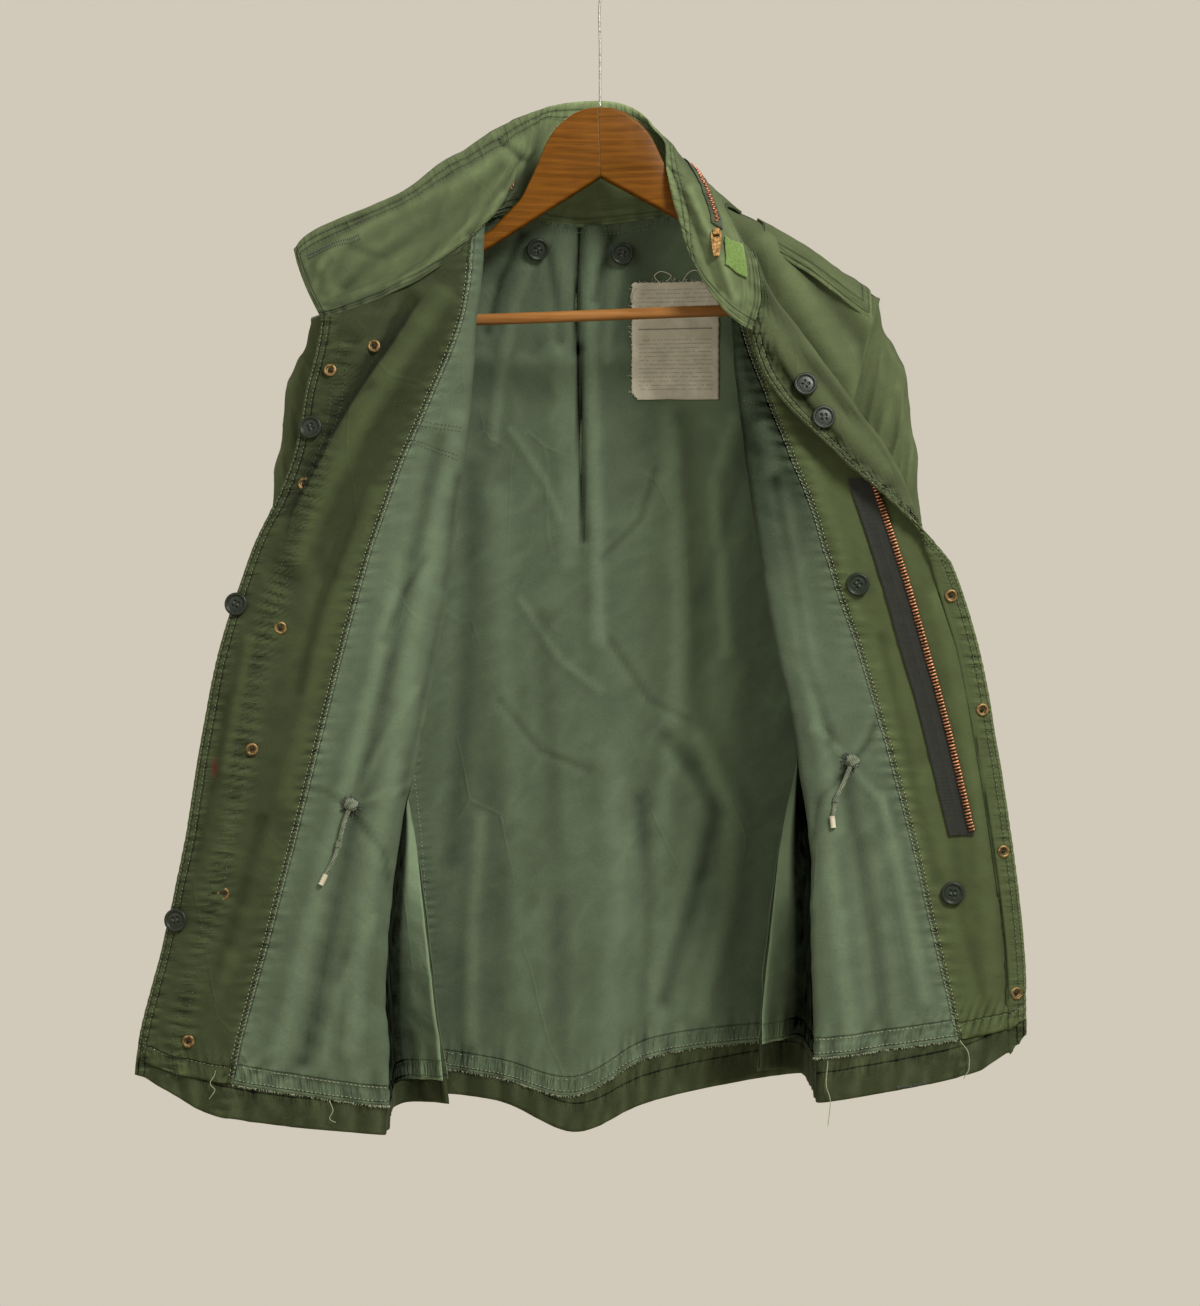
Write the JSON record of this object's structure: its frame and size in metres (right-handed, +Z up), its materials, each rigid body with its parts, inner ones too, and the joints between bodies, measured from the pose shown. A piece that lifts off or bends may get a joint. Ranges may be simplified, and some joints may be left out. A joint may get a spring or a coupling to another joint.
{
  "type": "field jacket on a hanger",
  "caption": "Lined field jacket hanging open on a wooden hanger, with a tall collar, patch pockets, front zip, buttons and snaps.",
  "frame": {"origin": "inside the top of the hanger's wire hook, where it rests on what holds it", "axes": "+Z up, +X to the viewer's right, +Y from the open front to the back"},
  "size_m": [0.7226, 0.1641, 0.993],
  "materials": {
    "shell_cloth": "washed olive cotton sateen, matt",
    "facing_cloth": "washed olive cotton sateen, matt",
    "lining_cloth": "grey-green poplin, matt",
    "collar_cloth": "washed olive cotton, matt",
    "buttons": "dark glossy plastic",
    "brass": "aged brass",
    "zip_tape": "twill tape",
    "label_cloth": "off-white woven label, frayed",
    "drawstring": "braided cotton cord",
    "grip_tape": "bright hook-and-loop tape",
    "hanger_wood": "varnished wood",
    "hook_wire": "plain steel wire"
  },
  "bodies": {
    "jacket": {"shell_front_left": "shell_cloth", "lining_front_left": "lining_cloth", "facing_left": "facing_cloth", "shell_front_right": "shell_cloth", "lining_front_right": "lining_cloth", "facing_right": "facing_cloth", "shell_back": "shell_cloth", "lining_back": "lining_cloth", "collar": "collar_cloth", "sleeve_top_left": "shell_cloth", "sleeve_under_left": "shell_cloth", "sleeve_top_right": "shell_cloth", "sleeve_under_right": "shell_cloth", "button_1": "buttons", "button_2": "buttons", "button_3": "buttons", "button_4": "buttons", "button_5": "buttons", "button_6": "buttons", "button_7": "buttons", "button_8": "buttons", "button_9": "buttons", "snap_1": "brass", "snap_2": "brass", "snap_3": "brass", "snap_4": "brass", "snap_5": "brass", "snap_6": "brass", "snap_7": "brass", "snap_8": "brass", "snap_9": "brass", "snap_10": "brass", "snap_11": "brass", "label": "label_cloth", "zip_tape_right": "zip_tape", "zip_tape_left": "zip_tape", "pocket_chest_left": "shell_cloth", "pocket_chest_flap_left": "shell_cloth", "pocket_hip_left": "shell_cloth", "pocket_hip_flap_left": "shell_cloth", "pocket_chest_right": "shell_cloth", "pocket_chest_flap_right": "shell_cloth", "pocket_hip_right": "shell_cloth", "pocket_hip_flap_right": "shell_cloth", "shoulder_loop_right": "shell_cloth", "shoulder_loop_left": "shell_cloth", "hood_zip_tape": "zip_tape", "collar_grip": "grip_tape", "zip_slider": "brass", "cord_left": "drawstring", "knot_left": "drawstring", "cord_right": "drawstring", "knot_right": "drawstring", "hanger_left": "hanger_wood", "hanger_right": "hanger_wood", "hanger_bar": "hanger_wood", "hanger_hook": "hook_wire"},
    "pull_tab": {"zip_pull": "brass"}
  },
  "joints": [
    {"name": "pull_tab_hinge", "type": "hinge", "parent": "jacket", "child": "pull_tab", "pos_m": [0.09503, -0.03801, -0.23967], "axis": [-0.9977, 0.0645, -0.021], "range_deg": [0, 150]}
  ]
}
